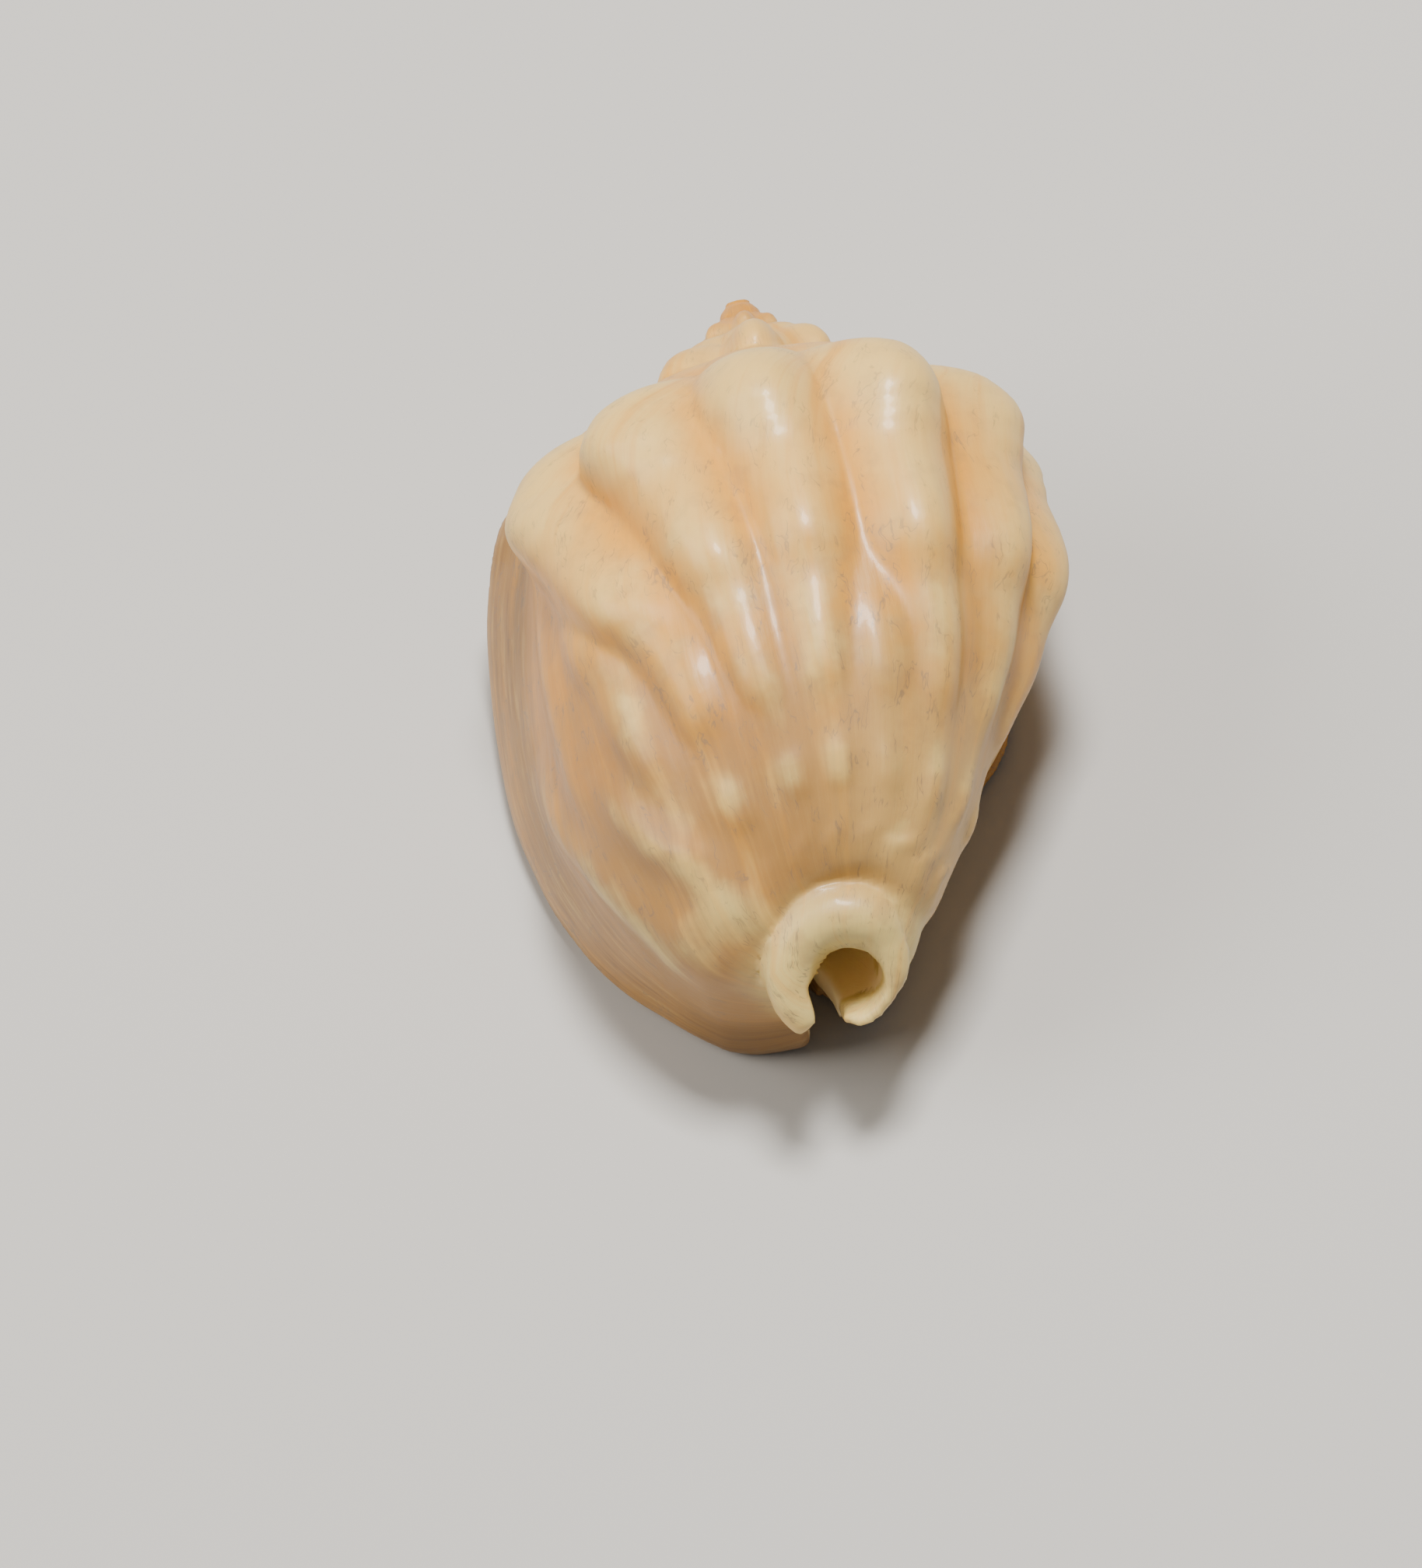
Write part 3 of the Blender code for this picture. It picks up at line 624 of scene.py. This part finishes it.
def surface_finish(material):
    """Node tree that trues the fused skin, adds growth lines and keeps what the colours need."""
    g = FormGraph("helmet_surface")
    knobs, spread = g.size("Knobs", 1.0), g.size("Lip spread", LIP_FLARE)
    depth = g.size("Growth line depth", LINE_DEPTH)
    x, y, z = g.split(g.add("GeometryNodeInputPosition").outputs[0])
    back, rise = APEX[1] - y / MM, z / MM - APEX[2]
    side = x / MM - APEX[0]
    along = back * math.cos(DIP) - rise * math.sin(DIP)
    up = back * math.sin(DIP) + rise * math.cos(DIP)
    angle = g.math("DEGREES", g.math("ARCTAN2", side, up))
    radius = g.math("SQRT", side * side + up * up)
    exact = skin_radius(g, angle, along, knobs, spread)
    gap = g.math("ABSOLUTE", radius - exact)
    onto = 1 - g.ease(gap, 0.25, 0.5)
    age = angle - lip_edge(g, along)[0]
    sockets = {"W": age / LINE_PITCH, "Scale": 1.0, "Detail": 3.0, "Roughness": 0.6}
    lines = g.field("ShaderNodeTexNoise", sockets, noise_dimensions="1D")
    out = g.math("MAXIMUM", 1 - g.ease(exact - radius, 0.6, 1.2), g.ease(angle, 55, 65))
    true = g.mix(onto, radius, exact) + (lines - 0.5) * depth * 2 * out
    turn = g.math("RADIANS", angle)
    ribs, lip_ribs = rib_relief(g, angle, along, knobs), lip_relief(g, angle, along, knobs)
    inside = g.ease(exact - radius, 0.8, 3.0) * (1 - g.ease(angle, 55, 65))
    pale = g.largest(ribs / RIB_CREST, lip_ribs * LIP_CREST)
    kept = {"rib": pale, "age": age, "along": along, "inside": inside}
    shape = g.entry.outputs["Geometry"]
    for name, value in kept.items():
        sockets = {"Geometry": shape, "Name": name, "Value": value}
        shape = g.add("GeometryNodeStoreNamedAttribute", sockets).outputs[0]
    x, y, z = g.split(g.spot(g.math("SINE", turn) * true, along, g.math("COSINE", turn) * true))
    settled = g.combine(x, y, g.math("MAXIMUM", z, 0))
    shape = g.add("GeometryNodeSetPosition", {"Geometry": shape, "Position": settled}).outputs[0]
    return g.finish([shape], material)


def apply(thing):
    """Turns what an object's modifiers give into its plain mesh."""
    graph = bpy.context.evaluated_depsgraph_get()
    graph.update()
    mesh = bpy.data.meshes.new_from_object(thing.evaluated_get(graph), depsgraph=graph)
    thing.modifiers.clear()
    thing.data = mesh
    return thing


def blank(name):
    """A new object with an empty mesh."""
    thing = bpy.data.objects.new(name, bpy.data.meshes.new(name))
    bpy.context.scene.collection.objects.link(thing)
    return thing


def grow(thing, tree, **sizes):
    """Gives an object what a node tree makes of it for these sizes, as a plain mesh."""
    nodes = thing.modifiers.new("form", "NODES")
    nodes.node_group = tree
    for item in tree.interface.items_tree:
        key = item.name.lower().replace(" ", "_")
        if item.in_out == "INPUT" and key in sizes:
            nodes[item.identifier] = sizes[key]
    return apply(thing)


def fuse(thing, grain, rounds):
    """Fuses an object's overlapping forms into one skin, rounded over this many times."""
    remesh = thing.modifiers.new("fuse", "REMESH")
    remesh.mode = "VOXEL"
    remesh.voxel_size = grain
    soften = thing.modifiers.new("soften", "SMOOTH")
    soften.factor = 0.5
    soften.iterations = rounds


def join(first, second):
    """Adds the second object's mesh to the first, and removes the second."""
    with bpy.context.temp_override(active_object=first, selected_editable_objects=[first, second]):
        bpy.ops.object.join()


class HelmetShape(bpy.types.PropertyGroup):
    """Sizes of the shell."""

    knobs: bpy.props.FloatProperty(
        name="Knobs", description="Height of the knobs and ribs against the real ones", default=1.0, min=0.0,
        max=1.5)
    lip_spread: bpy.props.FloatProperty(
        name="Lip spread", description="How far round the whorl the outer lip's flare reaches, in degrees",
        default=LIP_FLARE, min=5.0, max=30.0)
    shield: bpy.props.FloatProperty(
        name="Shield", description="Thickness of the shield beside the aperture", default=SHIELD_THICK * MM,
        unit="LENGTH")
    tooth_pitch: bpy.props.FloatProperty(
        name="Tooth pitch", description="Distance from one tooth to the next", default=TOOTH_PITCH * MM,
        unit="LENGTH")
    line_depth: bpy.props.FloatProperty(
        name="Growth lines", description="Depth of the fine growth lines", default=LINE_DEPTH * MM,
        unit="LENGTH")
    grain: bpy.props.FloatProperty(
        name="Grain", description="Size of the finest detail of the mesh", default=GRAIN * MM, unit="LENGTH")


def colour(name, description, value):
    return bpy.props.FloatVectorProperty(
        name=name, description=description, default=value, subtype="COLOR", size=3, min=0.0, max=1.0)


class HelmetColours(bpy.types.PropertyGroup):
    """Colours of the shell."""

    cream: colour("Cream", "Knobs and the top of the ribs", (0.75, 0.50, 0.155))
    honey: colour("Honey", "Grooves between the knobs", (0.68, 0.30, 0.03))
    tan: colour("Tan", "Lower part of the whorl and the lip", (0.38, 0.195, 0.055))
    chalk: colour("Chalk", "Rim of the canal and the low nodes", (0.68, 0.52, 0.18))
    # The inside's own ochre, painted paler than it is as painted light in the hollow
    ochre_and_painted_light: colour("Ochre", "Inside of the canal and the aperture", (0.88, 0.70, 0.38))


class HelmetStudio(bpy.types.PropertyGroup):
    """Floor, lights and camera."""

    floor: colour("Floor", "Colour of the floor", (0.50, 0.49, 0.47))
    light: bpy.props.FloatProperty(
        name="Light", description="Strength of the lights against the photo's", default=1.0, min=0.0,
        max=5.0)
    lens: bpy.props.FloatProperty(
        name="Lens", description="Focal length of the camera in millimetres", default=400.0, min=50.0,
        max=800.0)


def to_world(side, along, up):
    """World coordinates in metres of a point given in the shell's own directions."""
    back = -along * math.cos(DIP) - up * math.sin(DIP)
    rise = up * math.cos(DIP) - along * math.sin(DIP)
    return (Vector(APEX) + Vector((side, back, rise))) * MM


def shell_material(colours):
    """Glossy cream and tan shell, with honey grooves, growth streaks and fine hairlines, and painted light
    and shade: a paler lower right, a darker front end of the lip and a pale inside.
    """
    material = bpy.data.materials.new("helmet_porcelain")
    material.use_nodes = True
    g = Graph(material.node_tree)
    surface = material.node_tree.nodes["Principled BSDF"]
    names = ("rib", "age", "along", "inside")
    rib, age, along, inside = (
        g.field("ShaderNodeAttribute", output=2, attribute_name=name) for name in names)
    place = g.add("ShaderNodeTexCoord").outputs["Object"]
    cloud = noise(g, place, 160.0, 4.0, 0.55)
    mottle = noise(g, place, 520.0, 3.0, 0.6)
    with_growth = g.combine(age / 7, along / 34, cloud * 0.4)
    streak = noise(g, with_growth, 1.0, 4.0, 0.6)
    fine = noise(g, with_growth, 5.0, 5.0, 0.65)
    crack = noise(g, g.combine(age / 9 + cloud * 2, along / 14, cloud), 1.6, 3.0, 0.6)
    speck, sway = cloud - 0.5, streak - 0.5
    low = g.ease(along + speck * 30, 22, 40)
    flange = 1 - g.ease(age, 12, 26)

    # Ground colour: honey behind, tan in front and on the lip; paler cream at the lower right, partly the
    # shell's own paler front and partly painted light where the light falls from the right
    base = tint(g, low, colours.honey, colours.tan)
    # Partly painted light: the lower part turns creamier towards the right, where the light falls
    base = tint(g, low * g.ease(age, 100, 150) * 0.45, base, colours.cream)
    base = tint(g, flange, base, colours.tan)
    base = tint(g, flange * (1 - g.ease(along, 34, 44)) * 0.3, base, LIP_BROWN)
    groove = (1 - g.ease(rib + speck * 0.2, 0.03, 0.2)) * (1 - flange) * (1 - g.ease(along, 34, 44))
    base = tint(g, groove * 0.55, base, DEEP_HONEY)

    # Pale knobs, ribs, spire and rim of the canal
    crest = g.ease(rib + speck * 0.4 + sway * 0.4, 0.14, g.mix(low, 0.95, 0.4)) * g.mix(flange, 1, 0.5)
    crest = g.largest(crest, g.ease(along, 1.5, 4) * (1 - g.ease(along, 7, 10)) * 0.75)
    base = tint(g, crest, base, tint(g, g.ease(along, 24, 44), colours.cream, colours.chalk))
    ends = {0: place, 1: to_world(*MOUTH)}
    mouth = g.field("ShaderNodeVectorMath", ends, output=1, operation="DISTANCE") / MM
    base = tint(g, 1 - g.ease(mouth + speck * 4, 4, 8.5), base, colours.chalk)

    # Streaks that follow the growth, mottling and hairline cracks
    base = tint(g, g.ease(streak, 0.48, 0.7) * g.mix(low, 0.6, 0.3), base, colours.honey)
    base = tint(g, g.ease(fine, 0.5, 0.72) * g.mix(flange, 0.07, 0.75), base, STREAK_BROWN)
    base = tint(g, g.ease(fine, 0.5, 0.3) * g.mix(flange, 0.06, 0.3), base, colours.cream)
    base = tint(g, g.ease(mottle, 0.46, 0.7) * g.mix(crest, 0.3, 0.14), base, MOTTLE_BROWN)
    hair = 1 - g.ease(g.math("ABSOLUTE", crack - 0.5), 0.0, 0.013)
    base = tint(g, hair * g.ease(mottle, 0.42, 0.56) * g.mix(crest, 0.6, 0.3), base, CRACK_GREY)

    # Painted shade darkening the front end of the lip, where the light from above falls off; and the inside,
    # in an ochre painted paler than its own colour as painted light in the hollow
    base = tint(g, g.ease(along, 46, 50) * flange * 0.6, base, FRONT_SHADE)
    # Partly painted light: the ochre inside is painted paler to stand in for light the hollow does not get
    base = tint(g, inside, base, colours.ochre_and_painted_light)
    g.fill(surface.inputs["Base Color"], base)
    g.fill(surface.inputs["Roughness"], g.mix(cloud, 0.34, 0.52))
    surface.inputs["Specular IOR Level"].default_value = 0.4
    surface.inputs["Coat Weight"].default_value = 0.1
    surface.inputs["Coat Roughness"].default_value = 0.12
    surface.inputs["Subsurface Weight"].default_value = 0.12
    surface.inputs["Subsurface Radius"].default_value = (0.002, 0.001, 0.0004)
    surface.inputs["Subsurface Scale"].default_value = 1.0
    grain = g.add("ShaderNodeBump", {"Strength": 0.12, "Distance": 0.0002, "Height": fine})
    g.fill(surface.inputs["Normal"], grain.outputs[0])
    return material


def noise(g, vector, scale, detail, roughness):
    """Noise from 0 to 1 at a place."""
    sockets = {"Vector": vector, "Scale": scale, "Detail": detail, "Roughness": roughness}
    return g.field("ShaderNodeTexNoise", sockets)


def tint(g, factor, a, b):
    """Mixes two colours."""
    node = g.add("ShaderNodeMix", data_type="RGBA")
    g.fill(node.inputs["Factor"], factor)
    for key, value in ((6, a), (7, b)):
        if not isinstance(value, (Field, bpy.types.NodeSocket)):
            value = (*value, 1.0)
        g.fill(node.inputs[key], value)
    return node.outputs[2]


class HELMET_OT_shell(bpy.types.Operator):
    """Builds the shell as one fine mesh in place of the plain one"""

    bl_idname = "helmet.shell"
    bl_label = "Shell"

    def execute(self, context):
        shape = context.scene.helmet_shape
        material = shell_material(context.scene.helmet_colours)
        sizes = {"knobs": shape.knobs, "lip_spread": shape.lip_spread}
        outside = outer_forms(material)
        shell = grow(blank("helmet_shell"), outside, shield_thickness=shape.shield / MM, **sizes)
        voids = grow(blank("hollow"), hollow_forms(material))
        teeth = grow(blank("teeth"), tooth_forms(material), pitch=shape.tooth_pitch / MM)
        fuse(voids, shape.grain, 5)
        apply(voids)
        fuse(shell, shape.grain, 1)
        shell.modifiers.new("hollow", "BOOLEAN").object = voids
        apply(shell)
        bpy.data.objects.remove(voids)
        join(shell, teeth)
        fuse(shell, shape.grain, 3)
        apply(shell)
        grow(shell, surface_finish(material), growth_line_depth=shape.line_depth / MM, **sizes)
        shell.data.shade_smooth()
        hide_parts("shell")
        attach(shell, "root")
        return {"FINISHED"}


def camera_axes():
    """Directions to the right, down and towards the viewer in the photo's frame."""
    axis = Vector((0, -math.cos(DIP), -math.sin(DIP)))
    back = Vector((0, -math.sin(DIP), math.cos(DIP)))
    lift, roll = math.radians(VIEW_LIFT), math.radians(VIEW_ROLL)
    towards = axis * math.sin(lift) + back * math.cos(lift)
    front = axis * math.cos(lift) - back * math.sin(lift)
    side = Vector((1, 0, 0))
    return (side * math.cos(roll) + front * math.sin(roll), front * math.cos(roll) - side * math.sin(roll),
            towards, front)


def area_light(name, spot, aim, size, watts, shade):
    """A square light at a spot, turned to its aim."""
    data = bpy.data.lights.new(name, "AREA")
    data.size, data.energy, data.color = size, watts, shade
    light = bpy.data.objects.new(name, data)
    light.location = spot
    light.rotation_euler = (spot - aim).to_track_quat("Z", "Y").to_euler()
    bpy.context.scene.collection.objects.link(light)


class HELMET_OT_studio(bpy.types.Operator):
    """Adds the floor, the lights and the camera"""

    bl_idname = "helmet.studio"
    bl_label = "Studio"

    def execute(self, context):
        studio = context.scene.helmet_studio
        scene = context.scene
        bpy.ops.mesh.primitive_plane_add(size=4)
        floor = context.object
        floor.name = "floor"
        paper = bpy.data.materials.new("pale_paper")
        paper.use_nodes = True
        surface = paper.node_tree.nodes["Principled BSDF"]
        surface.inputs["Base Color"].default_value = (*studio.floor, 1)
        surface.inputs["Roughness"].default_value = 0.9
        floor.data.materials.append(paper)
        world = bpy.data.worlds.new("studio_air")
        scene.world = world
        world.use_nodes = True
        world.node_tree.nodes["Background"].inputs["Color"].default_value = (1, 0.97, 0.92, 1)
        world.node_tree.nodes["Background"].inputs["Strength"].default_value = 0.2
        right, down, towards, front = camera_axes()
        middle = Vector((0, 0, 0.016))
        key = middle + towards * 0.5 - down * 0.45
        area_light("key", key, middle, 0.16, 8.5 * studio.light, (1, 0.97, 0.93))
        fill = middle + towards * 0.4 - right * 0.6 - down * 0.2
        area_light("fill", fill, middle, 0.5, 4.5 * studio.light, (1, 0.95, 0.88))
        data = bpy.data.cameras.new("camera")
        data.lens, data.sensor_width, data.clip_start = studio.lens, SENSOR, 0.01
        camera = bpy.data.objects.new("camera", data)
        scene.collection.objects.link(camera)
        aim = (Vector(APEX) + Vector((AIM_SIDE, 0, 0)) + front * AIM_FRONT) * MM
        distance = VIEW_WIDTH * MM * studio.lens / SENSOR
        turn = Matrix((right, -down, towards)).transposed()
        camera.matrix_world = Matrix.Translation(aim + towards * distance) @ turn.to_4x4()
        scene.camera = camera
        return {"FINISHED"}


class HELMET_PT_panel(bpy.types.Panel):
    """Sizes, colours and builders of the helmet shell"""

    bl_label = "Helmet shell"
    bl_idname = "HELMET_PT_panel"
    bl_space_type = "VIEW_3D"
    bl_region_type = "UI"
    bl_category = "Helmet shell"

    def draw(self, context):
        for group in ("helmet_shape", "helmet_colours", "helmet_studio"):
            box = self.layout.box()
            settings = getattr(context.scene, group)
            for name in settings.__annotations__:
                box.prop(settings, name)
        self.layout.operator("helmet.shell")
        self.layout.operator("helmet.studio")


CLASSES = (HelmetShape, HelmetColours, HelmetStudio, HELMET_OT_shell, HELMET_OT_studio, HELMET_PT_panel)


def register():
    for cls in CLASSES:
        bpy.utils.register_class(cls)
    bpy.types.Scene.helmet_shape = bpy.props.PointerProperty(type=HelmetShape)
    bpy.types.Scene.helmet_colours = bpy.props.PointerProperty(type=HelmetColours)
    bpy.types.Scene.helmet_studio = bpy.props.PointerProperty(type=HelmetStudio)


def unregister():
    for name in ("helmet_shape", "helmet_colours", "helmet_studio"):
        delattr(bpy.types.Scene, name)
    for cls in reversed(CLASSES):
        bpy.utils.unregister_class(cls)


def main():
    register()
    bpy.ops.helmet.shell()
    bpy.ops.helmet.studio()


if __name__ == "__main__":
    main()
